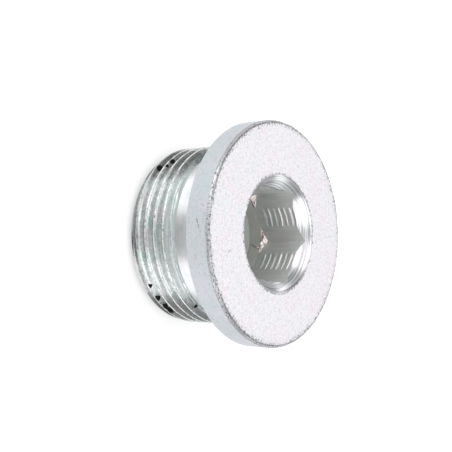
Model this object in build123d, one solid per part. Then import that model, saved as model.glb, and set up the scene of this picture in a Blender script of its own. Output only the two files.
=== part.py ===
from build123d import *
import math
import os

# Hex socket screw plug M24 x 1.5 with a collar, turned from one bar of steel. Sizes in mm, angles in degrees.
# Z is the plug's own axis and points out of the socket. Z = 0 is the sealing face, the underside
# of the collar: the collar lies above it and the threaded shank below it.

# Collar
COLLAR_DIAMETER = 29.0
COLLAR_THICKNESS = 3.5
COLLAR_TOP_ROUND = 0.4
COLLAR_SEAT_CHAMFER = 0.2

# Right-hand metric thread, with its crests at the lower limit of the major diameter
NOMINAL_DIAMETER = 24.0
MAJOR_DIAMETER = 23.75
PITCH = 1.5
THREAD_DEPTH = 0.6134 * PITCH
PROFILE_ANGLE = 60.0
CREST_FLAT = PITCH / 8
THREAD_START_ANGLE = 174.0
RIDGE_OVERLAP = 0.05
SHANK_LENGTH = 12.3
END_CHAMFER = 1.1

# Relief turned between the sealing face and the thread
RELIEF_DIAMETER = 22.0
RELIEF_LENGTH = 4.6
RELIEF_FILLET = 0.25
RELIEF_RUNOUT_ANGLE = 60.0

# Pilot hole drilled for the socket, a little wider than the hexagon is across its flats
PILOT_DIAMETER = 12.25
PILOT_DEPTH = 9.4
DRILL_POINT_ANGLE = 118.0

# Hexagon broached into the pilot hole, and the countersink at its mouth
HEX_ACROSS_FLATS = 12.0
HEX_DEPTH = 6.8
HEX_TURN = 21.1
HEX_FLOOR_SLOPE = 38.7
COUNTERSINK_DIAMETER = 15.1
COUNTERSINK_ANGLE = 90.0

# Sizes that follow from the ones above
COLLAR_RADIUS = COLLAR_DIAMETER / 2
MAJOR_RADIUS = MAJOR_DIAMETER / 2
CORE_RADIUS = NOMINAL_DIAMETER / 2 - THREAD_DEPTH
RELIEF_RADIUS = RELIEF_DIAMETER / 2
PILOT_RADIUS = PILOT_DIAMETER / 2
COUNTERSINK_RADIUS = COUNTERSINK_DIAMETER / 2
HEX_CORNER_RADIUS = HEX_ACROSS_FLATS / math.sqrt(3)
TOP_Z = COLLAR_THICKNESS
RELIEF_Z = -RELIEF_LENGTH
END_Z = -SHANK_LENGTH
BOTTOM_CENTER = (Align.CENTER, Align.CENTER, Align.MIN)
TOP_CENTER = (Align.CENTER, Align.CENTER, Align.MAX)


def revolved(*points):
    """Solid of revolution about Z of a closed outline of (radius, z) points."""
    with BuildPart() as solid:
        with BuildSketch(Plane.XZ):
            with BuildLine():
                Polyline(*points, close=True)
            make_face()
        revolve(axis=Axis.Z)
    return solid.part


def collar_with_relief():
    """Collar and the turned relief below it, with the fillet where they meet."""
    head = revolved(
        (0, TOP_Z),
        (COLLAR_RADIUS, TOP_Z),
        (COLLAR_RADIUS, 0),
        (RELIEF_RADIUS, 0),
        (RELIEF_RADIUS, RELIEF_Z),
        (0, RELIEF_Z),
    )
    rims = head.edges().filter_by(GeomType.CIRCLE)
    top_rim = rims.sort_by(Axis.Z)[-1]
    head = fillet(top_rim, COLLAR_TOP_ROUND)
    seat_rims = head.edges().filter_by(GeomType.CIRCLE).filter_by_position(Axis.Z, 0, 0)
    inner_rim, outer_rim = seat_rims.sort_by(SortBy.RADIUS)
    head = chamfer(outer_rim, COLLAR_SEAT_CHAMFER)
    seat_rims = head.edges().filter_by(GeomType.CIRCLE).filter_by_position(Axis.Z, 0, 0)
    return fillet(seat_rims.sort_by(SortBy.RADIUS)[0], RELIEF_FILLET)


def thread_ridge():
    """Right-hand helical ridge of 60 degree profile, longer than the thread at both ends."""
    half_angle = math.radians(PROFILE_ANGLE / 2)
    foot_radius = CORE_RADIUS - RIDGE_OVERLAP
    crest_radius = NOMINAL_DIAMETER / 2
    crest_half = CREST_FLAT / 2
    foot_half = crest_half + (crest_radius - foot_radius) * math.tan(half_angle)
    start_z = END_Z - PITCH
    path = Helix(pitch=PITCH, height=RELIEF_Z + PITCH - start_z, radius=foot_radius, center=(0, 0, start_z))
    with BuildPart() as ridge:
        with BuildSketch(Plane.XZ):
            with BuildLine():
                Polyline(
                    (foot_radius, start_z - foot_half),
                    (crest_radius, start_z - crest_half),
                    (crest_radius, start_z + crest_half),
                    (foot_radius, start_z + foot_half),
                    close=True,
                )
            make_face()
        sweep(path=path, is_frenet=True)
    return Rot(0, 0, THREAD_START_ANGLE) * ridge.part


def threaded_shank():
    """Threaded bar, turned down to the end chamfer, the run-out and the major diameter."""
    bar = Cylinder(CORE_RADIUS, 2 * SHANK_LENGTH) + thread_ridge()
    end_radius = MAJOR_RADIUS - END_CHAMFER
    end_cone = Cone(end_radius, end_radius + SHANK_LENGTH, SHANK_LENGTH, align=BOTTOM_CENTER)
    bar = bar & Pos(0, 0, END_Z) * end_cone
    runout_spread = SHANK_LENGTH * math.tan(math.radians(RELIEF_RUNOUT_ANGLE))
    runout_cone = Cone(RELIEF_RADIUS + runout_spread, RELIEF_RADIUS, SHANK_LENGTH, align=TOP_CENTER)
    bar = bar & Pos(0, 0, RELIEF_Z) * runout_cone
    return bar & Pos(0, 0, END_Z) * Cylinder(MAJOR_RADIUS, SHANK_LENGTH, align=BOTTOM_CENTER)


def pilot_hole():
    """Drilled hole with its conical bottom, and the countersink at its mouth."""
    point_depth = PILOT_RADIUS / math.tan(math.radians(DRILL_POINT_ANGLE / 2))
    countersink_depth = COUNTERSINK_RADIUS / math.tan(math.radians(COUNTERSINK_ANGLE / 2))
    bore = revolved(
        (0, TOP_Z),
        (PILOT_RADIUS, TOP_Z),
        (PILOT_RADIUS, TOP_Z - PILOT_DEPTH),
        (0, TOP_Z - PILOT_DEPTH - point_depth),
    )
    countersink = revolved((0, TOP_Z), (COUNTERSINK_RADIUS, TOP_Z), (0, TOP_Z - countersink_depth))
    return bore + countersink


def broached_hexagon():
    """Hexagonal prism whose corners end on the sloping ledges that the broach left."""
    floor_drop = HEX_CORNER_RADIUS * math.tan(math.radians(HEX_FLOOR_SLOPE))
    hexagon = extrude(Rot(0, 0, HEX_TURN) * RegularPolygon(HEX_CORNER_RADIUS, 6), HEX_DEPTH + floor_drop)
    hexagon = Pos(0, 0, TOP_Z - HEX_DEPTH - floor_drop) * hexagon
    floor = revolved(
        (0, TOP_Z),
        (HEX_CORNER_RADIUS, TOP_Z),
        (HEX_CORNER_RADIUS, TOP_Z - HEX_DEPTH),
        (0, TOP_Z - HEX_DEPTH - floor_drop),
    )
    return hexagon & floor


def plug():
    """The whole plug: one piece of steel."""
    body = collar_with_relief() + threaded_shank() - pilot_hole() - broached_hexagon()
    body.label = "screw_plug"
    return body


if __name__ == "__main__":
    os.makedirs("parts", exist_ok=True)
    export_step(plug(), "parts/screw_plug.step")
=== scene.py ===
"""Looks of a zinc-plated hexagon socket screw plug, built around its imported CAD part.

Shapes are worked out in millimetres in the part's own frame: Z is the plug's axis and points out of
the socket, and Z = 0 is the sealing face under the collar. Meshes are made in metres.
"""

import logging
import math
from dataclasses import dataclass, field
from enum import Enum
from typing import Any

import bmesh
import bpy
import numpy as np
from mathutils import Matrix, Vector, noise


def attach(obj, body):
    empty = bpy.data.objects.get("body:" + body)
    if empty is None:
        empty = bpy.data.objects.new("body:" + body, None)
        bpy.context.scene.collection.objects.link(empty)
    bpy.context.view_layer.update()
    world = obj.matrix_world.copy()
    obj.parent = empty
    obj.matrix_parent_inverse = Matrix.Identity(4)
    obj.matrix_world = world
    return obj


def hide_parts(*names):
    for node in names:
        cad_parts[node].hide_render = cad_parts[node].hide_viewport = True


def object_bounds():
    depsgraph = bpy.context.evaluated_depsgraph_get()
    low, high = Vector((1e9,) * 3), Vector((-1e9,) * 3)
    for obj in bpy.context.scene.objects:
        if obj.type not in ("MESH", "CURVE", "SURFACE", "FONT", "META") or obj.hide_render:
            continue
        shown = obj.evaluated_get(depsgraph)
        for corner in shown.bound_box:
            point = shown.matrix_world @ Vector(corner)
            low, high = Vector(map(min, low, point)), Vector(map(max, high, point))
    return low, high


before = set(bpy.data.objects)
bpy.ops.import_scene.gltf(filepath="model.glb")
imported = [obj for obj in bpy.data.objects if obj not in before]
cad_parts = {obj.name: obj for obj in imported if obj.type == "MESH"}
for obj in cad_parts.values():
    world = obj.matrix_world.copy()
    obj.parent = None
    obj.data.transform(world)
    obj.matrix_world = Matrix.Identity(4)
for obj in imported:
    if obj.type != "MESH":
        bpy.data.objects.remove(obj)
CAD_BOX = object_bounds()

log = logging.getLogger("screw_plug")
logging.basicConfig(level=logging.INFO)

METRES_PER_MM = 0.001
CAD_NODE = "screw_plug"
CAD_BODY = "root"
WELD_M = 2e-6
EMPTY_EDGE_M = 1e-7
TOLERANCE_MM = 1e-9
FLAW = "flaw"


# Finishes


class Lay(Enum):
    """Direction in which the tool left its marks on a surface."""

    FACING = "rings about the axis on a face"
    TURNING = "rings about the axis on a cylinder"
    CONE = "rings about the axis on a 45 degree cone"
    BROACHED = "lines along the axis"


class Surface(Enum):
    """Each differently worked surface of the plug, in the order of the mesh's material slots."""

    END_FACE = 0
    THREAD = 1
    RELIEF = 2
    SEAT = 3
    COLLAR_SIDE = 4
    COLLAR_EDGE = 5
    FRONT_FACE = 6
    COUNTERSINK = 7
    HEX_WALL = 8
    HEX_LEDGE = 9
    PILOT_WALL = 10
    PILOT_FLOOR = 11


@dataclass(frozen=True)
class Stroke:
    """Scratch, nick or hairline on the plating, or a broad band of painted shade, from one place to another
    in millimetres.
    """

    start: tuple[float, float, float]
    end: tuple[float, float, float]
    width_mm: float
    share: float


@dataclass(frozen=True)
class SoiledRing:
    """Ring about the axis, beside a worn edge, where the plating carries more dark specks."""

    radius_mm: float
    half_width_mm: float
    strength: float


@dataclass(frozen=True)
class ZincFinish:
    """Bright zinc plating with a blue-white passivation, over steel worked in one way.

    Electroplated zinc is a bluish white metal that follows every tool mark in the steel below it,
    and the thin passivation film gives it faint lilac and sea-green clouds.
    """

    name: str
    lay: Lay
    base_hex: str = "#EDECF0"
    lilac_hex: str = "#F1E5EF"
    green_hex: str = "#E0EAEA"
    dark_hex: str = "#6A6A6C"
    # Colour of the painted highlight on the thread's crests.
    crest_highlight_hex: str = "#F6F4F2"
    cloud_mm: float = 2.4
    cloud_share: float = 0.6
    mottle_mm: float = 0.45
    mottle_share: float = 0.0
    roughness: float = 0.40
    roughness_spread: float = 0.12
    anisotropy: float = 0.0
    mark_pitch_mm: float = 0.28
    mark_depth_mm: float = 0.010
    # How far the grooves of the tool marks are darkened in the colour: painted shade.
    painted_groove_shade: float = 0.0
    grain_mm: float = 0.25
    grain_depth_mm: float = 0.010
    grain_shade: float = 0.0
    speck_mm: float = 0.26
    speck_level: float = 0.70
    speck_softness: float = 0.08
    crest_radius_mm: float = 0.0
    # Depth below the sealing face where the thread's colour starts to darken, as painted shade towards its
    # end.
    painted_end_shade_mm: float = 0.0
    strokes: tuple[Stroke, ...] = ()
    soiled_rings: tuple[SoiledRing, ...] = ()


@dataclass(frozen=True)
class Patches:
    """Irregular patches of noise: what sets them apart, and the levels at which one begins and is whole."""

    seed: float
    begins: float
    whole: float


LILAC_CLOUDS = Patches(11.0, 0.46, 0.62)
GREEN_CLOUDS = Patches(29.0, 0.48, 0.66)
MOTTLE = Patches(61.0, 0.46, 0.70)
CREST_HIGHLIGHT_PATCHES = Patches(97.0, 0.34, 0.52)
SPECK_SEED = 47.0
SEED_SHIFT = (1.0, 1.7, -1.0)
GREEN_TO_LILAC_SIZE = 0.8

# Noise settings for each kind of unevenness, and the levels between which it counts.
PATCH_NOISE = {"Detail": 5.0, "Roughness": 0.6}
MARK_NOISE = {"Detail": 0.6, "Roughness": 0.6}
GRAIN_NOISE = {"Detail": 3.0, "Roughness": 0.6}
SCRATCH_NOISE = {"Scale": 3.3, "Detail": 3.0}
PIT_NOISE = {"Scale": 2.5, "Detail": 4.0}
GROOVE_LEVELS = (0.62, 0.38)
HOLLOW_LEVELS = (0.60, 0.35)
PIT_LEVELS = (0.84, 0.90)

# Marks drift a little round the plug, and broached lines run on along its axis.
RING_DRIFT = (0.03, 0.03, 0.0)
BROACH_STRETCH = (1.0, 1.0, 0.05)

# A scratch is ragged: its edge wanders by its own width, between an inner and an outer limit.
SCRATCH_WANDER = 1.6
SCRATCH_OUTER = 1.5
SCRATCH_INNER = 0.8

# A thread crest, by height below its top: a grey band of painted shadow on and just below it, and on its top
# a painted white highlight, broken up in places.
CREST_SHADOW_MM = (-0.14, -0.04)
CREST_SHADOW_SHARE = 0.45
CREST_HIGHLIGHT_MM = (-0.02, 0.005)
CREST_HIGHLIGHT_SHARE = 0.9
CREST_HIGHLIGHT_PATCH_MM = 0.5
# Painted shade that darkens the thread towards its end: how far it runs in, and how far it covers the
# colour.
END_SHADE_RUN_MM = 0.8
END_SHADE_SHARE = 0.3

PIT_HEX = "#232423"
PIT_RAGGED = 0.9
PIT_DULLNESS = 0.3
QUARTER_TURN = 0.25
TIMES = {"operation": "MULTIPLY"}
PLUS = {"operation": "ADD"}
MINUS = {"operation": "SUBTRACT"}
LARGER = {"operation": "MAXIMUM"}
SMOOTH = {"interpolation_type": "SMOOTHSTEP"}


def linear_colour(srgb_hex: str) -> tuple[float, float, float, float]:
    """Turn an sRGB hex colour into linear RGBA.

    Args:
        srgb_hex: Colour such as "#D3D5D8".

    Returns:
        Linear red, green, blue and an alpha of 1.
    """
    channels = [int(srgb_hex[i : i + 2], 16) / 255 for i in (1, 3, 5)]
    linear = [c / 12.92 if c <= 0.04045 else ((c + 0.055) / 1.055) ** 2.4 for c in channels]
    return (linear[0], linear[1], linear[2], 1.0)


def step(value: Any, low: float, high: float, top: float = 1.0) -> dict[str, Any]:
    """Return the links of a step from 0, where a value is low, to top, where it is high."""
    return {"Value": value, "From Min": low, "From Max": high, "To Max": top}


class Graph:
    """Node tree of one material or world."""

    def __init__(self, tree: bpy.types.NodeTree) -> None:
        """Take over a node tree and empty it."""
        self.tree = tree
        self.tree.nodes.clear()

    def add(self, kind: str, settings: dict[str, Any], links: dict[Any, Any], out: Any = 0) -> Any:
        """Add a node with its settings and links.

        Args:
            kind: Blender's name of the node's type, without its ShaderNode.
            settings: Attribute names of the node and their values.
            links: Input names or numbers, each with a socket to link or a value to set.
            out: Name or number of the output to return.

        Returns:
            The chosen output socket, or the node itself where it has no output.
        """
        node = self.tree.nodes.new("ShaderNode" + kind)
        for key, value in settings.items():
            setattr(node, key, value)
        for key, value in links.items():
            if isinstance(value, bpy.types.NodeSocket):
                self.tree.links.new(value, node.inputs[key])
            else:
                node.inputs[key].default_value = value
        return node.outputs[out] if len(node.outputs) else node


class ZincMaterial:
    """Builds one worked and plated surface as a procedural material."""

    def __init__(self, finish: ZincFinish) -> None:
        """Build the material for a finish.

        Args:
            finish: How the surface was worked, and how its plating looks.
        """
        self.finish = finish
        self.material = bpy.data.materials.new("zinc_" + finish.name)
        self.material.use_nodes = True
        self.graph = Graph(self.material.node_tree)
        add = self.graph.add
        place = add("TexCoord", {}, {}, "Object")
        links = {0: place, "Scale": 1 / METRES_PER_MM}
        self.point = add("VectorMath", {"operation": "SCALE"}, links)
        flat = add("VectorMath", TIMES, {0: self.point, 1: (1, 1, 0)})
        self.radius = add("VectorMath", {"operation": "LENGTH"}, {0: flat}, "Value")
        self.height = add("SeparateXYZ", {}, {0: self.point}, "Z")
        self.build()

    def patches(self, size_mm: float, kind: Patches, thicker: Any = 0.0) -> Any:
        """Return irregular patches of the plating.

        Args:
            size_mm: Size of the patches.
            kind: Their seed and levels.
            thicker: How much is added to the noise, so that patches crowd together.

        Returns:
            Socket with 0 between the patches and 1 inside them.
        """
        add = self.graph.add
        shift = tuple(kind.seed * share for share in SEED_SHIFT)
        place = add("VectorMath", PLUS, {0: self.point, 1: shift})
        noise_level = add("TexNoise", {}, {"Vector": place, "Scale": 1 / size_mm, **PATCH_NOISE})
        level = add("Math", PLUS, {0: noise_level, 1: thicker})
        return add("MapRange", SMOOTH, step(level, kind.begins, kind.whole))

    def tinted(self, colour: Any, share: Any, strength: float, srgb_hex: str) -> Any:
        """Lay a tint over a colour.

        Args:
            colour: Socket of the colour below.
            share: Socket that says where the tint lies, from 0 to 1.
            strength: How far the tint covers the colour there.
            srgb_hex: The tint.

        Returns:
            Socket of the tinted colour.
        """
        add = self.graph.add
        cover = add("Math", TIMES, {0: share, 1: strength})
        links = {"Factor": cover, "A": colour, "B": linear_colour(srgb_hex)}
        return add("Mix", {"data_type": "RGBA"}, links, "Result")

    def tool_marks(self) -> Any:
        """Build the tool's marks.

        Returns:
            Socket of their height, between 0 and 1.
        """
        add, lay = self.graph.add, self.finish.lay
        if lay is Lay.BROACHED:
            place = add("VectorMath", TIMES, {0: self.point, 1: BROACH_STRETCH})
        else:
            across = self.radius if lay is Lay.FACING else self.height
            if lay is Lay.CONE:
                across = add("Math", TIMES, {0: self.radius, 1: math.sqrt(2)})
            rings = add("CombineXYZ", {}, {"Z": across})
            drift = add("VectorMath", TIMES, {0: self.point, 1: RING_DRIFT})
            place = add("VectorMath", PLUS, {0: rings, 1: drift})
        links = {"Vector": place, "Scale": 1 / self.finish.mark_pitch_mm, **MARK_NOISE}
        return add("TexNoise", {}, links)

    def stroke_share(self, stroke: Stroke) -> Any:
        """Build one scratch, or a band of painted shade.

        Args:
            stroke: Where the scratch runs, and how broad and dark it is.

        Returns:
            Socket that says how far a place lies inside it, from 0 to 1.
        """
        add = self.graph.add
        along = Vector(stroke.end) - Vector(stroke.start)
        from_start = add("VectorMath", MINUS, {0: self.point, 1: stroke.start})
        links = {0: from_start, 1: tuple(along / along.length_squared)}
        share = add("VectorMath", {"operation": "DOT_PRODUCT"}, links, "Value")
        share = add("Clamp", {}, {"Value": share})
        foot = add("VectorMath", {"operation": "SCALE"}, {0: tuple(along), "Scale": share})
        away = add("VectorMath", {"operation": "DISTANCE"}, {0: from_start, 1: foot}, "Value")
        ragged = add("TexNoise", {}, {"Vector": self.point, **SCRATCH_NOISE})
        ragged = add("Math", TIMES, {0: ragged, 1: stroke.width_mm * SCRATCH_WANDER})
        away = add("Math", PLUS, {0: away, 1: ragged})
        outer, inner = stroke.width_mm * SCRATCH_OUTER, stroke.width_mm * SCRATCH_INNER
        return add("MapRange", SMOOTH, step(away, outer, inner, stroke.share))

    def soiling(self) -> Any:
        """Build the soiled rings beside the worn edges.

        Returns:
            Socket, or plain 0, that says how much more the specks crowd together.
        """
        add = self.graph.add
        crowd: Any = 0.0
        for ring in self.finish.soiled_rings:
            away = add("Math", MINUS, {0: self.radius, 1: ring.radius_mm})
            away = add("Math", {"operation": "ABSOLUTE"}, {0: away})
            inside = add("MapRange", SMOOTH, step(away, ring.half_width_mm, 0.0, ring.strength))
            crowd = add("Math", PLUS, {0: inside, 1: crowd})
        return crowd

    def pitting(self) -> Any:
        """Build the pits, where the skin is torn down to bare, blackened steel.

        Returns:
            Socket with 1 inside them and 0 outside.
        """
        add = self.graph.add
        flaw = add("Attribute", {"attribute_name": FLAW}, {}, "Fac")
        ragged = add("TexNoise", {}, {"Vector": self.point, **PIT_NOISE})
        ragged = add("Math", TIMES, {0: ragged, 1: PIT_RAGGED})
        torn = add("Math", PLUS, {0: flaw, 1: ragged})
        return add("MapRange", SMOOTH, step(torn, *PIT_LEVELS))

    def crest_shadow_and_highlight(self) -> list[tuple[Any, float, str]]:
        """Build the grey painted shadow along the thread's crests and the painted white highlight on their
        tops.

        Returns:
            Where each lies, how far it covers the colour below, and its own colour.
        """
        add, finish = self.graph.add, self.finish
        top = finish.crest_radius_mm
        # Painted shadow: a grey band on the crest and just below it. Painted highlight: a white line on the
        # crest's top.
        burr = add("MapRange", SMOOTH, step(self.radius, top + CREST_SHADOW_MM[0], top + CREST_SHADOW_MM[1]))
        lip = add("MapRange", SMOOTH, step(self.radius, top + CREST_HIGHLIGHT_MM[0], top + CREST_HIGHLIGHT_MM[1]))
        lip = add("Math", TIMES, {0: lip, 1: self.patches(CREST_HIGHLIGHT_PATCH_MM, CREST_HIGHLIGHT_PATCHES)})
        return [(burr, CREST_SHADOW_SHARE, finish.dark_hex), (lip, CREST_HIGHLIGHT_SHARE, finish.crest_highlight_hex)]

    def plating_colour(self, marks: Any, grain: Any, specks: Any, pits: Any) -> Any:
        """Build the colour of the plating, from its clouds down to its flaws, with painted shade and painted
        highlights laid into it.

        Args:
            marks: Height of the tool's marks.
            grain: Fine unevenness of the plating.
            specks: Where the dark specks and scratches lie, and the band of painted shade on a socket wall.
            pits: Where the steel is bare.

        Returns:
            Socket of the colour.
        """
        add, finish = self.graph.add, self.finish
        dark = finish.dark_hex
        green_mm = finish.cloud_mm * GREEN_TO_LILAC_SIZE
        tints = [
            (self.patches(finish.cloud_mm, LILAC_CLOUDS), finish.cloud_share, finish.lilac_hex),
            (self.patches(green_mm, GREEN_CLOUDS), finish.cloud_share, finish.green_hex),
        ]
        if finish.mottle_share:
            tints.append((self.patches(finish.mottle_mm, MOTTLE), finish.mottle_share, dark))
        # Painted shade: the grooves of the tool marks are darkened in the colour.
        if finish.painted_groove_shade:
            groove = add("MapRange", SMOOTH, step(marks, *GROOVE_LEVELS))
            tints.append((groove, finish.painted_groove_shade, dark))
        if finish.grain_shade:
            hollow = add("MapRange", SMOOTH, step(grain, *HOLLOW_LEVELS))
            tints.append((hollow, finish.grain_shade, dark))
        # Painted shadow and painted highlight along the thread's crests.
        if finish.crest_radius_mm:
            tints += self.crest_shadow_and_highlight()
        # Painted shade: the thread darkens below this height, towards its end.
        if finish.painted_end_shade_mm:
            start = -finish.painted_end_shade_mm
            shaded_end = add("MapRange", SMOOTH, step(self.height, start, start - END_SHADE_RUN_MM))
            tints.append((shaded_end, END_SHADE_SHARE, dark))
        tints += [(specks, 1.0, dark), (pits, 1.0, PIT_HEX)]
        colour = linear_colour(finish.base_hex)
        for tint in tints:
            colour = self.tinted(colour, *tint)
        return colour

    def build(self) -> None:
        """Build the whole material."""
        add, finish = self.graph.add, self.finish
        marks = self.tool_marks()
        links = {"Vector": self.point, "Scale": 1 / finish.grain_mm, **GRAIN_NOISE}
        grain = add("TexNoise", {}, links)
        clean = finish.speck_level
        kind = Patches(SPECK_SEED, clean, clean + finish.speck_softness)
        specks = self.patches(finish.speck_mm, kind, self.soiling())
        # Scratches, and on one socket wall a band of painted shade, join the dark specks.
        for stroke in finish.strokes:
            specks = add("Math", LARGER, {0: specks, 1: self.stroke_share(stroke)})
        pits = self.pitting()

        # The grain lies mostly between a third and two thirds, so three times it, less 1.5, is about 0.
        smoothest = finish.roughness - finish.roughness_spread * 1.5
        spread = add("Math", TIMES, {0: grain, 1: finish.roughness_spread * 3})
        spread = add("Math", PLUS, {0: spread, 1: smoothest})
        duller = add("Math", TIMES, {0: pits, 1: PIT_DULLNESS})
        roughness = add("Math", PLUS, {0: spread, 1: duller})

        depth = finish.mark_depth_mm * METRES_PER_MM
        normal = add("Bump", {}, {"Strength": 1.0, "Distance": depth, "Height": marks})
        depth = finish.grain_depth_mm * METRES_PER_MM
        hollows = add("Math", MINUS, {0: grain, 1: specks})
        links = {"Strength": 1.0, "Distance": depth, "Height": hollows, "Normal": normal}
        normal = add("Bump", {}, links)
        colour = self.plating_colour(marks, grain, specks, pits)
        links = {"Base Color": colour, "Metallic": 1.0, "Roughness": roughness, "Normal": normal}
        if finish.anisotropy:
            links["Anisotropic"] = finish.anisotropy
            links["Anisotropic Rotation"] = QUARTER_TURN
            links["Tangent"] = add("Tangent", {"direction_type": "RADIAL", "axis": "Z"}, {})
        shader = add("BsdfPrincipled", {}, links)
        add("OutputMaterial", {}, {"Surface": shader})


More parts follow.
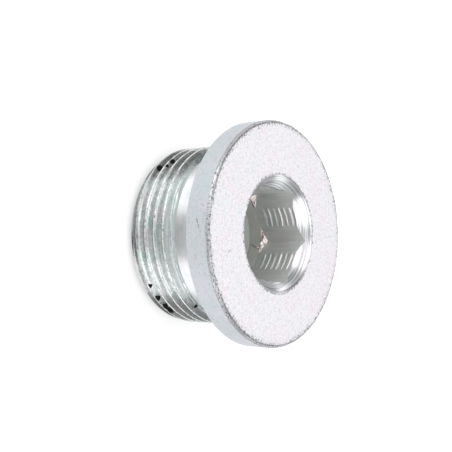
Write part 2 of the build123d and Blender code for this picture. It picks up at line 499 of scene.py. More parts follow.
# Tool marks on the real plug are 0.05 to 0.1 mm apart. They are drawn 0.18 to 0.35 mm apart, because
# finer ones would not show when the whole plug is seen at once.
FINISHES: dict[Surface, ZincFinish] = {
    # Parted off and faced: plain satin rings.
    Surface.END_FACE: ZincFinish("end_face", Lay.FACING, mark_pitch_mm=0.35, mark_depth_mm=0.02),
    # Rolled thread: smooth, bright flanks with a sea-green film, dull patches, thin crests with a painted
    # white highlight over a painted shadow line, and painted shade towards its end.
    Surface.THREAD: ZincFinish(
        "thread", Lay.TURNING,
        base_hex="#D5DBDA", green_hex="#B9CFC9", lilac_hex="#D9D4D9", crest_radius_mm=11.845,
        painted_end_shade_mm=9.7, roughness=0.22, mark_pitch_mm=0.2, mark_depth_mm=0.006, painted_groove_shade=0.2,
        mottle_share=0.22, grain_mm=0.4, speck_level=0.68,
    ),
    # Turned with a round-nosed tool: grooves stretch each reflection into soft bars along the axis.
    Surface.RELIEF: ZincFinish(
        "relief", Lay.TURNING,
        base_hex="#F3F4F6", lilac_hex="#F2EFF3", roughness=0.5, roughness_spread=0.03, anisotropy=1.0,
        mark_pitch_mm=0.3, mark_depth_mm=0.012, painted_groove_shade=0.06, grain_depth_mm=0.002, speck_level=0.8,
    ),
    # Faced sealing ring under the collar: fine satin rings.
    Surface.SEAT: ZincFinish("seat", Lay.FACING, base_hex="#E0EAE8", mark_pitch_mm=0.25, mark_depth_mm=0.02),
    # Turned side of the collar: an even blue-grey satin with a few handling scratches.
    Surface.COLLAR_SIDE: ZincFinish(
        "collar_side", Lay.TURNING,
        base_hex="#C8CCD1", lilac_hex="#D1CDD6", green_hex="#BDCCCD", cloud_mm=3.4, mottle_mm=0.35,
        mottle_share=0.2, roughness=0.42, anisotropy=0.4, grain_depth_mm=0.012, speck_mm=0.2,
        speck_level=0.69,
        strokes=(
            Stroke((-2.02, -14.36, 1.74), (-1.60, -14.41, 1.93), 0.14, 1.0),
            Stroke((-1.40, -14.43, 2.00), (-0.97, -14.47, 2.18), 0.15, 1.0),
            Stroke((-3.70, -14.02, 2.40), (-3.55, -14.06, 2.60), 0.06, 0.7),
            Stroke((4.15, -13.89, 2.31), (4.62, -13.74, 2.47), 0.06, 0.7),
            Stroke((8.35, -11.86, 2.10), (8.45, -11.78, 2.25), 0.07, 0.7),
            Stroke((9.89, -10.61, 0.59), (10.14, -10.36, 0.78), 0.08, 0.8),
            Stroke((10.92, -9.54, 1.33), (11.02, -9.43, 1.45), 0.07, 0.7),
            Stroke((11.15, -9.27, 2.03), (11.25, -9.15, 2.12), 0.07, 0.7),
        ),
    ),
    # Rounded front edge of the collar, scuffed by handling: grey, speckled and uneven.
    Surface.COLLAR_EDGE: ZincFinish(
        "collar_edge", Lay.CONE,
        base_hex="#C8C9CC", lilac_hex="#CECACE", green_hex="#C1C9C9", dark_hex="#6C6C70",
        roughness=0.44, mark_pitch_mm=0.24, painted_groove_shade=0.42, grain_mm=0.3, grain_depth_mm=0.03,
        speck_mm=0.22, speck_level=0.53, speck_softness=0.12,
        soiled_rings=(SoiledRing(14.12, 0.3, 0.07),),
    ),
    # Faced front: pale, matt and faintly grained, dirtier beside both worn edges.
    Surface.FRONT_FACE: ZincFinish(
        "front_face", Lay.FACING,
        base_hex="#F8F6FA", lilac_hex="#FAEFF8", green_hex="#EFF6F8", dark_hex="#96969A", cloud_mm=3.0,
        cloud_share=0.5, roughness=0.48, grain_mm=0.22, grain_depth_mm=0.02, grain_shade=0.24,
        speck_mm=0.2, speck_level=0.66, mottle_mm=0.5, mottle_share=0.2,
        strokes=(
            Stroke((1.94, -10.72, 3.5), (1.78, -10.42, 3.5), 0.12, 0.9),
            Stroke((0.90, -12.72, 3.5), (0.98, -12.62, 3.5), 0.09, 0.7),
            Stroke((-1.45, 9.05, 3.5), (-1.37, 9.13, 3.5), 0.09, 0.7),
            Stroke((1.37, 7.7, 3.5), (0.90, 9.0, 3.5), 0.04, 0.45),
            Stroke((0.90, 9.0, 3.5), (0.59, 13.55, 3.5), 0.05, 0.5),
        ),
        soiled_rings=(SoiledRing(7.6, 0.5, 0.20), SoiledRing(14.1, 0.8, 0.16)),
    ),
    # Countersunk mouth: bright cut rings that mirror the lamps, with painted shade in their grooves.
    Surface.COUNTERSINK: ZincFinish(
        "countersink", Lay.CONE,
        base_hex="#EEEFF1", lilac_hex="#F3E8F1", green_hex="#E2ECEB", roughness=0.30,
        roughness_spread=0.03, anisotropy=0.6, mark_pitch_mm=0.18, mark_depth_mm=0.012, painted_groove_shade=0.55,
        grain_depth_mm=0.002, speck_level=0.78,
        soiled_rings=(SoiledRing(7.55, 0.3, 0.22),),
    ),
    # Broached flats and corners: faint lines along the axis, and one broad band of painted shade on a wall
    # near the mouth.
    Surface.HEX_WALL: ZincFinish(
        "hex_wall", Lay.BROACHED,
        base_hex="#F4F6F5", lilac_hex="#F6F2F2", green_hex="#EBF2F0", roughness=0.56,
        mark_pitch_mm=0.18, painted_groove_shade=0.08,
        # Painted shade: a broad dark band on one wall near the mouth of the socket.
        strokes=(Stroke((-6.1, -0.2, 1.9), (-5.75, 2.4, 2.3), 2.0, 0.5),),
    ),
    # Torn chips where the broach stopped: rough, pinkish white and shadowed.
    Surface.HEX_LEDGE: ZincFinish(
        "hex_ledge", Lay.FACING,
        base_hex="#EEE4E1", lilac_hex="#F2DEDB", green_hex="#DEDCD4", dark_hex="#3C3A38",
        grain_depth_mm=0.08, speck_level=0.58,
    ),
    # Drilled wall: matt, with a few dark scores and stuck chips.
    Surface.PILOT_WALL: ZincFinish(
        "pilot_wall", Lay.TURNING,
        base_hex="#F3F4F0", lilac_hex="#F4F0EC", green_hex="#EBEFE9", roughness=0.68,
        strokes=(
            Stroke((1.58, 5.92, -5.45), (2.07, 5.77, -4.24), 0.10, 0.8),
            Stroke((2.07, 5.77, -4.24), (2.5, 5.6, -3.7), 0.16, 0.9),
            Stroke((4.78, 3.83, -3.9), (4.6, 4.05, -4.3), 0.16, 1.0),
            Stroke((-4.41, 4.26, -4.0), (-3.73, 4.86, -4.2), 0.22, 0.9),
        ),
    ),
    # Drill point: dull, with its colour darkened as painted shade deep in the hole.
    Surface.PILOT_FLOOR: ZincFinish(
        "pilot_floor", Lay.CONE,
        base_hex="#8E918E", lilac_hex="#918E8D", green_hex="#878D87", roughness=0.5,
    ),
}


# The plug

Point = tuple[float, float]


@dataclass
class Sheet:
    """Part of the plug's skin as a grid: one row per ring, one column per direction about the axis."""

    surface: Surface
    radius: np.ndarray
    height: np.ndarray


@dataclass(frozen=True)
class Pit:
    """Torn, unplated spot on the shank, in degrees about the axis and millimetres."""

    azimuth_deg: float
    height: float
    length: float
    width: float


@dataclass(frozen=True)
class Chip:
    """Crumpled sliver of steel that the broach left hanging on a ledge, in degrees and millimetres."""

    azimuth_deg: float
    radius: float
    height: float
    length: float
    width: float
    lean_deg: float
    seed: float


@dataclass(frozen=True)
class Texture:
    """Unevenness left in the steel: how far it moves the skin, and the size of its lumps."""

    swing: float
    lump: float
    seed: float

    def at(self, place: np.ndarray) -> np.ndarray:
        """Work out the unevenness.

        Args:
            place: Points in millimetres, with x, y and z in the last axis.

        Returns:
            How far the skin moves at each of them, in millimetres.
        """
        shape = place.shape[:-1]
        shifted = (place.reshape(-1, 3) / self.lump + self.seed).tolist()
        return self.swing * np.array([noise.noise(Vector(point)) for point in shifted]).reshape(shape)


def rise(value: np.ndarray, low: float, high: float) -> np.ndarray:
    """Return a smooth step from 0 at low to 1 at high."""
    share = np.clip((value - low) / (high - low), 0, 1)
    return share * share * (3 - 2 * share)


@dataclass
class ScrewPlug:
    """The plug's skin, from the centre of its end face round to the bottom of its socket.

    Sizes are in millimetres and angles in degrees. Heights start at the sealing face, and the burr's
    inner and outer limits are counted in half widths of the crest.
    """

    collar_radius: float = (CAD_BOX[1][0] - CAD_BOX[0][0]) / 2 / METRES_PER_MM
    top: float = CAD_BOX[1][2] / METRES_PER_MM
    end: float = CAD_BOX[0][2] / METRES_PER_MM
    edge_round: float = 0.4
    edge_rows: int = 11
    edge_least_wear: float = 0.012
    seat_chamfer: float = 0.2
    major_radius: float = 11.875
    core_radius: float = 11.08
    pitch: float = 1.5
    flank_deg: float = 30.0
    crest_half: float = 0.115
    crest_corner: float = 0.03
    crest_corner_run: float = 0.07
    crest_seam_depth: float = 0.04
    crest_seam_half: float = 0.04
    crest_height: float = -5.9
    crest_azimuth_deg: float = -90.0
    burr_inner: float = 0.6
    burr_outer: float = 1.6
    half_rows: tuple[float, ...] = (0, 0.045, 0.08, 0.1, 0.12, 0.16, 0.27, 0.40, 0.52, 0.6)
    smooth_end: float = 0.3
    thinnest_row: float = 0.015
    pit_dent: float = 0.05
    pit_slope: tuple[float, float] = (0.1, 0.9)
    shank_margin: float = 0.3
    shank_top: float = -0.1
    end_chamfer: float = 1.1
    relief_radius: float = 11.0
    relief_length: float = 4.6
    runout_deg: float = 60.0
    relief_fillet: float = 0.25
    pilot_radius: float = 6.125
    pilot_depth: float = 9.4
    drill_point_deg: float = 118.0
    hex_across_flats: float = 12.0
    hex_depth: float = 6.8
    hex_turn_deg: float = 21.1
    hex_floor_slope_deg: float = 38.7
    countersink_radius: float = 7.55
    countersink_lip: float = 0.05
    columns: int = 360
    end_rows: int = 7
    neck_rows: int = 4
    fillet_rows: int = 6
    seat_rows: int = 4
    side_rows: int = 10
    face_rows: int = 12
    countersink_rows: int = 9
    countersink_start: float = 0.06
    wall_rows: int = 84
    ledge_rows: int = 6
    pilot_rows: int = 18
    point_rows: int = 8
    seam_deg: float = 90.0
    sharp_deg: float = 28.0
    feed: float = 0.86
    feed_depth: float = 0.10
    feed_rise: float = 0.10
    second_lip: float = 0.34
    second_share: float = 0.45
    feed_sway: float = 0.25
    feed_sway_rate: float = 2.4
    feed_least: float = 0.12
    feed_fade_in: float = 0.02
    feed_fade_top: float = -1.2
    feed_fade_end: float = -4.6
    thread_lumps: tuple[Texture, ...] = (Texture(0.014, 1.1, 4.7), Texture(0.006, 0.45, 9.1))
    crest_lumps: tuple[Texture, ...] = (Texture(0.025, 0.45, 2.3), Texture(0.025, 1.9, 7.9))
    edge_lumps: tuple[Texture, ...] = (Texture(0.04, 0.6, 1.9), Texture(0.03, 1.6, 6.1))
    ledge_lumps: tuple[Texture, ...] = (Texture(0.22, 0.35, 8.3), Texture(0.10, 0.16, 5.9))
    pits: tuple[Pit, ...] = (
        Pit(-140.6, -10.28, 1.00, 0.40),
        Pit(-146.8, -8.89, 0.72, 0.42),
        Pit(-141.1, -8.94, 0.42, 0.28),
        Pit(-57.3, -10.07, 0.50, 0.28),
        Pit(-46.5, -10.02, 0.80, 0.36),
        Pit(-38.0, -9.95, 1.00, 0.32),
        Pit(-33.0, -9.90, 1.15, 0.34),
        Pit(-36.4, -5.16, 0.45, 0.28),
        Pit(-64.8, -10.42, 0.40, 0.22),
        Pit(-52.9, -9.14, 0.30, 0.22),
        Pit(-134.2, -10.05, 0.30, 0.22),
        Pit(-151.5, -9.62, 0.34, 0.22),
    )
    chips: tuple[Chip, ...] = (
        Chip(85.0, 6.10, -3.70, 1.70, 0.55, 62.0, 1.7),
        Chip(72.5, 6.00, -3.95, 0.80, 0.30, 20.0, 3.1),
        Chip(150.0, 6.20, -3.60, 1.20, 0.40, 70.0, 5.3),
    )
    chip_thickness: float = 0.05
    chip_crumple: float = 0.16
    chip_crumple_mm: float = 0.35
    chip_stretch: float = 1.3
    chip_around: int = 10
    chip_along: int = 13
    chip_tip: float = 0.02
    chip_fullness: float = 0.6
    sheets: list[Sheet] = field(default_factory=list)

    def __post_init__(self) -> None:
        """Choose the directions of the columns, with one on each edge of the socket."""
        self.azimuth = self.seam_deg + np.arange(self.columns + 1) * 360 / self.columns
        across = self.hex_across_flats / 2
        strip_half = math.degrees(math.acos(across / self.pilot_radius))
        for corner in range(6):
            turn = self.hex_turn_deg + 60 * corner
            for edge in (turn, turn + 30 - strip_half, turn + 30 + strip_half):
                offset = (edge - self.seam_deg) % 360
                nearest = int(round(offset * self.columns / 360))
                self.azimuth[nearest] = self.seam_deg + offset
        flat_angle = (self.azimuth - self.hex_turn_deg) % 60 - 30
        self.hex_radius = across / np.cos(np.radians(flat_angle))
        self.wall_radius = np.maximum(self.hex_radius, self.pilot_radius)

    def place(self, radius: np.ndarray, height: np.ndarray) -> np.ndarray:
        """Return the points of a grid, in millimetres.

        Args:
            radius: Distance from the axis of each point.
            height: Height of each point along the axis.

        Returns:
            The points, with x, y and z in the last axis.
        """
        directions = np.radians(self.azimuth)
        height = np.broadcast_to(height, radius.shape)
        return np.stack([radius * np.cos(directions), radius * np.sin(directions), height], -1)

    def lumps(self, textures: tuple[Texture, ...], radius: np.ndarray, height: np.ndarray) -> np.ndarray:
        """Return the sum of several textures over a grid."""
        place = self.place(radius, height)
        return sum(texture.at(place) for texture in textures)

    def ring(self, surface: Surface, outline: list[Point]) -> None:
        """Add a sheet that is the same in every direction.

        Args:
            surface: How the sheet is worked.
            outline: Points of (radius, height) along the profile.
        """
        ones = np.ones(self.columns + 1)
        radius = np.array([r * ones for r, _ in outline])
        height = np.array([z * ones for _, z in outline])
        self.sheets.append(Sheet(surface, radius, height))

    def arc(self, centre: Point, radius: float, start: float, stop: float, count: int) -> list[Point]:
        """Return points of (radius, height) along an arc of the profile, between two angles in degrees."""
        angles = np.radians(np.linspace(start, stop, count))
        return [(centre[0] + radius * math.cos(a), centre[1] + radius * math.sin(a)) for a in angles]

    def add_end_face(self) -> None:
        """Add the flat end of the shank."""
        rim = self.major_radius - self.end_chamfer
        self.ring(Surface.END_FACE, [(r, self.end) for r in np.linspace(0, rim, self.end_rows)])

    def pit_share(self, azimuth_deg: np.ndarray, height: np.ndarray) -> np.ndarray:
        """Return how deep each place lies in one of the pits.

        Args:
            azimuth_deg: Direction of each place about the axis.
            height: Height of each place along the axis.

        Returns:
            0 outside the pits, up to 1 in the middle of one.
        """
        share = np.zeros(np.broadcast(azimuth_deg, height).shape)
        for pit in self.pits:
            turn = (azimuth_deg - pit.azimuth_deg + 180) % 360 - 180
            along = np.radians(turn) * self.major_radius / pit.length
            across = (height - pit.height) / pit.width
            share = np.maximum(share, 1 - np.hypot(along, across))
        return share

    def thread_radius(self, from_crest: np.ndarray) -> np.ndarray:
        """Return the thread's radius at a distance along the axis from the middle of its crest.

        Args:
            from_crest: Distance from the crest, up to half a pitch.

        Returns:
            The radius, with the fine seam that rolling leaves along the crest.
        """
        depth = (from_crest - self.crest_half) / math.tan(math.radians(self.flank_deg))
        depth = np.clip(depth, 0, self.major_radius - self.core_radius)
        corner_start = self.crest_half - self.crest_corner_run
        corner = self.crest_corner * rise(from_crest, corner_start, self.crest_half)
        seam = self.crest_seam_depth * (1 - rise(from_crest, 0, 2 * self.crest_seam_half))
        return self.major_radius - np.maximum(depth, corner) - seam

    def add_thread(self) -> None:
        """Add the right-hand thread, whose rows follow the helix and are clipped at both ends."""
        half_rows = np.array(self.half_rows)
        rows = np.concatenate([[-self.pitch / 2], -half_rows[:0:-1], half_rows])
        low, high = self.end, -self.relief_length
        climb = self.pitch * (self.azimuth - self.crest_azimuth_deg) / 360
        first = math.floor((low - self.crest_height - climb[-1]) / self.pitch) - 1
        last = math.ceil((high - self.crest_height - climb[0]) / self.pitch) + 1
        turns = [self.crest_height + turn * self.pitch + rows for turn in range(first, last)]
        height = np.concatenate(turns)[:, None] + climb[None, :]
        height = np.clip(height, low, high)
        height[height < low + self.thinnest_row] = low
        height[height > high - self.thinnest_row] = high
        phase = (height - self.crest_height - climb[None, :] + self.pitch / 2) % self.pitch
        from_crest = np.abs(phase - self.pitch / 2)
        radius = self.thread_radius(from_crest)
        plain = np.broadcast_to(self.major_radius, radius.shape)
        on_crest = 1 - rise(from_crest, self.crest_half * self.burr_inner, self.crest_half * self.burr_outer)
        uneven = self.lumps(self.thread_lumps, plain, height)
        burr = on_crest * self.lumps(self.crest_lumps, plain, height)
        dent = self.pit_dent * rise(self.pit_share(self.azimuth, height), *self.pit_slope)
        inside = rise(height, low, low + self.smooth_end) * (1 - rise(height, high - self.smooth_end, high))
        radius = radius + inside * (uneven + np.minimum(burr, 0.0) - dent)
        radius = np.minimum(radius, self.major_radius - self.end_chamfer + height - low)
        runout = (high - height) * math.tan(math.radians(self.runout_deg))
        radius = np.minimum(radius, self.relief_radius + runout)
        self.sheets.append(Sheet(Surface.THREAD, radius, height))

    def add_relief(self) -> None:
        """Add the turned relief and the fillet up to the sealing face."""
        heights = np.linspace(-self.relief_length, -self.relief_fillet, self.neck_rows)
        neck = [(self.relief_radius, z) for z in heights]
        centre = (self.relief_radius + self.relief_fillet, -self.relief_fillet)
        fillet = self.arc(centre, self.relief_fillet, 180, 90, self.fillet_rows)
        self.ring(Surface.RELIEF, neck[:-1] + fillet)

    def add_seat(self) -> None:
        """Add the sealing face and the chamfer at its rim."""
        inner = self.relief_radius + self.relief_fillet
        outer = self.collar_radius - self.seat_chamfer
        face = [(r, 0.0) for r in np.linspace(inner, outer, self.seat_rows)]
        self.ring(Surface.SEAT, face + [(self.collar_radius, self.seat_chamfer)])

    def add_collar(self) -> None:
        """Add the collar's side and its worn, rounded front edge."""
        edge_low = self.top - self.edge_round
        heights = np.linspace(self.seat_chamfer, edge_low, self.side_rows)
        self.ring(Surface.COLLAR_SIDE, [(self.collar_radius, z) for z in heights])
        centre = (self.collar_radius - self.edge_round, edge_low)
        outline = np.array(self.arc(centre, self.edge_round, 0, 90, self.edge_rows))
        ones = np.ones(self.columns + 1)
        radius, height = outline[:, :1] * ones, outline[:, 1:] * ones
        worn = self.lumps(self.edge_lumps, radius, height)
        wear = np.minimum(worn, self.edge_least_wear) - self.edge_least_wear
        lean = np.radians(np.linspace(0, 90, self.edge_rows))[:, None]
        wear = wear * np.sin(2 * lean)
        radius, height = radius + wear * np.cos(lean), height + wear * np.sin(lean)
        self.sheets.append(Sheet(Surface.COLLAR_EDGE, radius, height))

    def add_front_face(self) -> None:
        """Add the front face in to the countersink."""
        lip = self.countersink_radius + self.countersink_lip
        radii = np.linspace(self.collar_radius - self.edge_round, lip, self.face_rows)
        self.ring(Surface.FRONT_FACE, [(r, self.top) for r in radii])

    def add_countersink(self) -> None:
        """Add the countersink, which ends in scallops on the flats of the hexagon."""
        lip = self.countersink_radius + self.countersink_lip
        depth = self.countersink_radius - self.wall_radius
        steps = np.linspace(self.countersink_start, 1, self.countersink_rows)[:, None]
        radius = np.vstack([np.full(self.columns + 1, lip), self.countersink_radius - steps * depth])
        height = np.vstack([np.full(self.columns + 1, self.top), self.top - steps * depth])
        self.sheets.append(Sheet(Surface.COUNTERSINK, radius, height))

    def add_socket(self) -> None:
        """Add the broached hexagon, its torn corner ledges, the drilled wall and the drill point."""
        mouth = self.top - (self.countersink_radius - self.wall_radius)
        corner = self.hex_across_flats / math.sqrt(3)
        slope = math.tan(math.radians(self.hex_floor_slope_deg))
        ledge_top = self.top - self.hex_depth - (corner - self.wall_radius) * slope
        ledge_foot = self.top - self.hex_depth - (corner - self.pilot_radius) * slope
        drilled = self.wall_radius < self.pilot_radius + TOLERANCE_MM

        steps = np.linspace(0, 1, self.wall_rows)[:, None]
        height = mouth + steps * (ledge_top - mouth)
        edge_fade = rise(steps, 0, self.feed_fade_in)
        radius = self.wall_radius + self.feed_marks(height) * drilled * edge_fade
        self.sheets.append(Sheet(Surface.HEX_WALL, radius, height))

        steps = np.linspace(0, 1, self.ledge_rows)[:, None]
        foot = np.full(self.columns + 1, ledge_foot)
        groove = self.feed_marks(foot[None, :])
        height = ledge_top + steps * (foot - ledge_top)
        radius = self.wall_radius + steps * (self.pilot_radius - self.wall_radius)
        radius = radius + groove * (steps * (1 - drilled) + drilled)
        torn = self.lumps(self.ledge_lumps, radius, height) * np.sin(steps * math.pi) * (1 - drilled)
        self.sheets.append(Sheet(Surface.HEX_LEDGE, radius, height + torn))

        bottom = self.top - self.pilot_depth
        steps = np.linspace(0, 1, self.pilot_rows)[:, None]
        height = ledge_foot + steps * (bottom - ledge_foot) * np.ones(self.columns + 1)
        radius = self.pilot_radius + self.feed_marks(height) * (1 - steps**4)
        self.sheets.append(Sheet(Surface.PILOT_WALL, radius, height))

        point = self.pilot_radius / math.tan(math.radians(self.drill_point_deg / 2))
        steps = np.linspace(0, 1, self.point_rows)
        self.ring(Surface.PILOT_FLOOR, [(self.pilot_radius * (1 - s), bottom - point * s) for s in steps])

    def chip_points(self, chip: Chip) -> tuple[np.ndarray, np.ndarray]:
        """Build a chip as a closed, crumpled ribbon that tapers to both ends.

        Args:
            chip: Where the chip hangs and how large it is.

        Returns:
            Its points in millimetres and its faces.
        """
        around, along = self.chip_around, self.chip_along
        turn = np.linspace(0, 2 * math.pi, around, endpoint=False)[None, :]
        share = np.linspace(self.chip_tip, 1 - self.chip_tip, along)[:, None]
        taper = np.sin(share * math.pi) ** self.chip_fullness
        side = 0.5 * chip.width * taper * np.cos(turn)
        run = chip.length * (share - 0.5) + 0 * side
        thick = 0.5 * self.chip_thickness * taper * np.sin(turn)
        lean, azimuth = math.radians(chip.lean_deg), math.radians(chip.azimuth_deg)
        sideways = (run * math.sin(lean) - side * math.cos(lean))[..., None]
        upwards = (run * math.cos(lean) + side * math.sin(lean))[..., None]
        across = np.array([-math.sin(azimuth), math.cos(azimuth), 0])
        inward = np.array([-math.cos(azimuth), -math.sin(azimuth), 0])
        middle = np.array([chip.radius * math.cos(azimuth), chip.radius * math.sin(azimuth), chip.height])
        points = middle + sideways * across + upwards * np.array([0, 0, 1]) + thick[..., None] * inward
        crumple = Texture(self.chip_crumple, self.chip_crumple_mm, chip.seed)
        lump_place = middle + sideways * across + upwards * self.chip_stretch
        points = points + crumple.at(lump_place)[..., None] * inward
        corner = np.arange(along - 1)[:, None] * around + np.arange(around)[None, :]
        beside = np.arange(along - 1)[:, None] * around + (np.arange(around)[None, :] + 1) % around
        faces = np.stack([corner, beside, beside + around, corner + around], -1).reshape(-1, 4)
        caps = [list(range(around))[::-1], [around * (along - 1) + i for i in range(around)]]
        return points.reshape(-1, 3), faces.tolist() + caps

    def feed_marks(self, height: np.ndarray) -> np.ndarray:
        """Return how far the drill's feed marks cut outwards at each height and direction.

        Args:
            height: Height of each point along the axis.

        Returns:
            A saw-tooth, with a short ledge that faces the mouth, a long slope back and a small second
            lip part way along it, all fading with depth.
        """
        phase = (height / self.feed + self.azimuth / 360) % 1
        tooth = np.where(phase < self.feed_rise, phase / self.feed_rise, (1 - phase) / (1 - self.feed_rise))
        between = np.clip(1 - np.abs(phase - self.second_lip) / self.feed_rise, 0, 1)
        kept = rise(height, self.feed_fade_end, self.feed_fade_top)
        strength = self.feed_least + (1 - self.feed_least) * kept
        sway = np.cos(self.feed_sway_rate * height / self.feed)
        strength = strength * (1 - self.feed_sway + self.feed_sway * sway)
        return self.feed_depth * (tooth + self.second_share * between) * strength

    def build(self) -> bpy.types.Object:
        """Build the whole skin as one closed mesh.

        Returns:
            The plug's object.
        """
        self.add_end_face()
        self.add_thread()
        self.add_relief()
        self.add_seat()
        self.add_collar()
        self.add_front_face()
        self.add_countersink()
        self.add_socket()
        points, faces, surfaces, start = [], [], [], 0
        for sheet in self.sheets:
            rows, columns = sheet.radius.shape
            points.append(self.place(sheet.radius, sheet.height).reshape(-1, 3))
            corner = start + np.arange(rows - 1)[:, None] * columns + np.arange(columns - 1)[None, :]
            quads = np.stack([corner, corner + 1, corner + columns + 1, corner + columns], -1)
            faces += quads.reshape(-1, 4).tolist()
            surfaces += [sheet.surface.value] * ((rows - 1) * (columns - 1))
            start += rows * columns
        for chip in self.chips:
            chip_points, chip_faces = self.chip_points(chip)
            points.append(chip_points)
            faces += [[start + corner for corner in face] for face in chip_faces]
            surfaces += [Surface.HEX_LEDGE.value] * len(chip_faces)
            start += len(chip_points)
        mesh = bpy.data.meshes.new("screw_plug_body")
        place = np.vstack(points) * METRES_PER_MM
        mesh.from_pydata(place.tolist(), [], faces)
        mesh.polygons.foreach_set("material_index", surfaces)
        for surface in Surface:
            mesh.materials.append(ZincMaterial(FINISHES[surface]).material)
        self.weld(mesh)
        self.mark_pits(mesh)
        mesh.shade_smooth()
        mesh.set_sharp_from_angle(angle=math.radians(self.sharp_deg))
        plug = bpy.data.objects.new("plug_body", mesh)
        bpy.context.scene.collection.objects.link(plug)
        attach(plug, CAD_BODY)
        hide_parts(CAD_NODE)
        return plug

    def weld(self, mesh: bpy.types.Mesh) -> None:
        """Join the sheets' shared edges and drop the faces that clipping made empty.

        Args:
            mesh: The skin, still in separate sheets, in metres.
        """
        work = bmesh.new()
        work.from_mesh(mesh)
        bmesh.ops.remove_doubles(work, verts=work.verts, dist=WELD_M)
        bmesh.ops.dissolve_degenerate(work, edges=work.edges, dist=EMPTY_EDGE_M)
        work.to_mesh(mesh)
        work.free()

    def mark_pits(self, mesh: bpy.types.Mesh) -> None:
        """Store on each point of the shank how deep it lies in a pit, for the plating to leave bare.

        Args:
            mesh: The welded skin, in metres.
        """
        flat = np.zeros(len(mesh.vertices) * 3)
        mesh.vertices.foreach_get("co", flat)
        place = flat.reshape(-1, 3) / METRES_PER_MM
        azimuth = np.degrees(np.arctan2(place[:, 1], place[:, 0]))
        outside = np.hypot(place[:, 0], place[:, 1]) > self.core_radius - self.shank_margin
        on_shank = outside & (place[:, 2] < self.shank_top)
        share = np.clip(self.pit_share(azimuth, place[:, 2]), 0, 1) * on_shank
        mesh.attributes.new(FLAW, "FLOAT", "POINT").data.foreach_set("value", share)


# Stage, lamps and camera


def direction_of(azimuth_deg: float, elevation_deg: float) -> Vector:
    """Return a direction from the plug.

    Args:
        azimuth_deg: Angle about the axis, from +X towards +Y.
        elevation_deg: Angle above the floor.

    Returns:
        Unit vector.
    """
    azimuth, elevation = math.radians(azimuth_deg), math.radians(elevation_deg)
    flat = math.cos(elevation)
    return Vector((flat * math.cos(azimuth), flat * math.sin(azimuth), math.sin(elevation)))


@dataclass(frozen=True)
class SoftBox:
    """Rectangular lamp that faces the plug, placed by its direction from the plug."""

    name: str
    azimuth_deg: float
    elevation_deg: float
    width_mm: float
    height_mm: float
    glow: float
    distance_mm: float = 320.0

    def build(self) -> bpy.types.Object:
        """Build the lamp, whose glow of 1 looks as bright as white.

        Returns:
            The lamp, which the camera doesn't see.
        """
        direction = direction_of(self.azimuth_deg, self.elevation_deg)
        width, height = self.width_mm * METRES_PER_MM, self.height_mm * METRES_PER_MM
        lamp = bpy.data.lights.new(self.name, "AREA")
        lamp.shape = "RECTANGLE"
        lamp.size = width
        lamp.size_y = height
        lamp.energy = self.glow * math.pi * width * height
        holder = bpy.data.objects.new(self.name, lamp)
        holder.location = direction * self.distance_mm * METRES_PER_MM
        holder.rotation_euler = direction.to_track_quat("Z", "Y").to_euler()
        holder.visible_camera = False
        bpy.context.scene.collection.objects.link(holder)
        return holder


@dataclass(frozen=True)
class ShadedPart:
    """Part of the surroundings that is darker than the rest, about one direction."""

    azimuth_deg: float
    elevation_deg: float
    inner_deg: float
    outer_deg: float
    share: float


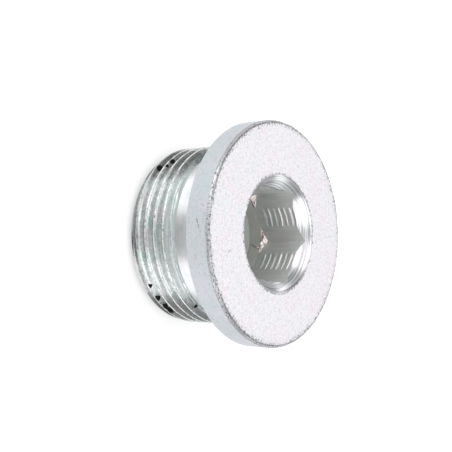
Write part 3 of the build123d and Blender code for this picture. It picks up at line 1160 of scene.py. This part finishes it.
@dataclass
class Studio:
    """Pale floor, soft lamps, plain surroundings and the camera.

    The floor's own glow lifts it to white, and fades out under the plug, where the floor lies in shade.
    """

    floor_half_mm: float = 3000.0
    floor_hex: str = "#A0A0A0"
    floor_glow: float = 0.72
    sky_glow: float = 0.66
    contact_inner_mm: float = 8.5
    contact_outer_mm: float = 12.4
    shaded_parts: tuple[ShadedPart, ...] = (
        ShadedPart(158.0, 52.0, 5.0, 21.0, 0.7),
        ShadedPart(139.0, 33.0, 5.0, 21.0, 0.7),
        ShadedPart(22.0, 52.0, 5.0, 20.0, 0.6),
        ShadedPart(41.0, 33.0, 5.0, 20.0, 0.6),
        ShadedPart(0.0, 33.0, 5.0, 16.0, 0.5),
        ShadedPart(-90.0, 16.0, 18.0, 36.0, 0.92),
    )
    lamps: tuple[SoftBox, ...] = (
        SoftBox("left_box", -145.0, 50.0, 260.0, 240.0, 1.02),
        SoftBox("right_box", -35.0, 50.0, 260.0, 240.0, 1.02),
        SoftBox("left_low_box", -142.0, 14.0, 270.0, 100.0, 3.4),
        SoftBox("right_low_box", -38.0, 14.0, 270.0, 100.0, 3.4),
        SoftBox("left_side_box", -170.0, 37.0, 110.0, 110.0, 0.5),
        SoftBox("left_fill", 138.0, 8.0, 200.0, 110.0, 0.9),
        SoftBox("right_fill", 42.0, 8.0, 200.0, 110.0, 0.9),
        SoftBox("front_box", -90.0, 82.0, 260.0, 150.0, 1.15),
        SoftBox("back_box", 90.0, 40.0, 380.0, 260.0, 0.45),
        SoftBox("top_box", 90.0, 84.0, 260.0, 260.0, 0.3),
    )
    axis_to_view_deg: float = 51.78
    roll_deg: float = 1.25
    distance_mm: float = 113.77
    aim_right_mm: float = 6.88
    aim_up_mm: float = -0.99
    lens_mm: float = 71.02
    sensor_mm: float = 36.0

    def build(self) -> None:
        """Build the floor, lamps, sky and camera."""
        self.build_floor()
        self.build_sky()
        for lamp in self.lamps:
            lamp.build()
        self.build_camera()

    def build_floor(self) -> None:
        """Build the floor that the plug stands on, on its thread end."""
        half = self.floor_half_mm * METRES_PER_MM
        level = CAD_BOX[0][2]
        corners = [(-half, -half, level), (half, -half, level), (half, half, level), (-half, half, level)]
        mesh = bpy.data.meshes.new("floor")
        mesh.from_pydata(corners, [], [(0, 1, 2, 3)])
        material = bpy.data.materials.new("matt_floor")
        material.use_nodes = True
        graph = Graph(material.node_tree)
        matt = graph.add("BsdfDiffuse", {}, {"Color": linear_colour(self.floor_hex)})
        place = graph.add("TexCoord", {}, {}, "Object")
        flat = graph.add("VectorMath", TIMES, {0: place, 1: (1, 1, 0)})
        away = graph.add("VectorMath", {"operation": "LENGTH"}, {0: flat}, "Value")
        inner, outer = self.contact_inner_mm * METRES_PER_MM, self.contact_outer_mm * METRES_PER_MM
        strength = graph.add("MapRange", SMOOTH, step(away, inner, outer, self.floor_glow))
        glow = graph.add("Emission", {}, {"Color": (1, 1, 1, 1), "Strength": strength})
        lit = graph.add("AddShader", {}, {0: matt, 1: glow})
        rays = graph.add("LightPath", {}, {}).node.outputs
        is_seen = graph.add("Math", LARGER, {0: rays["Is Camera Ray"], 1: rays["Is Glossy Ray"]})
        is_seen = graph.add("Math", LARGER, {0: is_seen, 1: rays["Is Transmission Ray"]})
        shown = graph.add("MixShader", {}, {"Fac": is_seen, 1: matt, 2: lit})
        graph.add("OutputMaterial", {}, {"Surface": shown})
        mesh.materials.append(material)
        floor = bpy.data.objects.new("floor", mesh)
        bpy.context.scene.collection.objects.link(floor)

    def build_sky(self) -> None:
        """Build the plain pale surroundings, with soft grey gaps between the lamps and the back."""
        world = bpy.data.worlds.new("studio")
        world.use_nodes = True
        bpy.context.scene.world = world
        graph = Graph(world.node_tree)
        place = graph.add("TexCoord", {}, {}, "Generated")
        outward = graph.add("VectorMath", {"operation": "NORMALIZE"}, {0: place})
        strength: Any = self.sky_glow
        for part in self.shaded_parts:
            middle = tuple(direction_of(part.azimuth_deg, part.elevation_deg))
            links = {0: outward, 1: middle}
            near = graph.add("VectorMath", {"operation": "DOT_PRODUCT"}, links, "Value")
            outer, inner = math.cos(math.radians(part.outer_deg)), math.cos(math.radians(part.inner_deg))
            links = {**step(near, outer, inner, 1 - part.share), "To Min": 1.0}
            kept = graph.add("MapRange", SMOOTH, links)
            strength = graph.add("Math", TIMES, {0: strength, 1: kept})
        sky = graph.add("Background", {}, {"Color": (1, 1, 1, 1), "Strength": strength})
        graph.add("OutputWorld", {}, {"Surface": sky})

    def build_camera(self) -> None:
        """Build the camera, turned on its side so that the plug's axis runs from left to right."""
        tilt, roll = math.radians(self.axis_to_view_deg), math.radians(self.roll_deg)
        right = Vector((math.sin(roll), math.cos(roll) * math.cos(tilt), math.cos(roll) * math.sin(tilt)))
        up = Vector((-math.cos(roll), math.sin(roll) * math.cos(tilt), math.sin(roll) * math.sin(tilt)))
        back = right.cross(up)
        face_centre = Vector((0, 0, CAD_BOX[1][2]))
        offset = back * self.distance_mm - right * self.aim_right_mm - up * self.aim_up_mm
        data = bpy.data.cameras.new("camera")
        data.lens = self.lens_mm
        data.sensor_width = self.sensor_mm
        data.clip_start = METRES_PER_MM
        camera = bpy.data.objects.new("camera", data)
        turn = Matrix((right, up, back)).transposed().to_4x4()
        camera.matrix_world = Matrix.Translation(face_centre + offset * METRES_PER_MM) @ turn
        bpy.context.scene.collection.objects.link(camera)
        bpy.context.scene.camera = camera


def main() -> None:
    """Build the plug and its studio, and report them."""
    bpy.context.scene.view_settings.view_transform = "Standard"
    plug = ScrewPlug().build()
    log.info("%s: %d faces, %d finishes", plug.name, len(plug.data.polygons), len(plug.data.materials))
    studio = Studio()
    studio.build()
    log.info("studio: floor, %d lamps, %d shaded parts", len(studio.lamps), len(studio.shaded_parts))


if __name__ == "__main__":
    main()
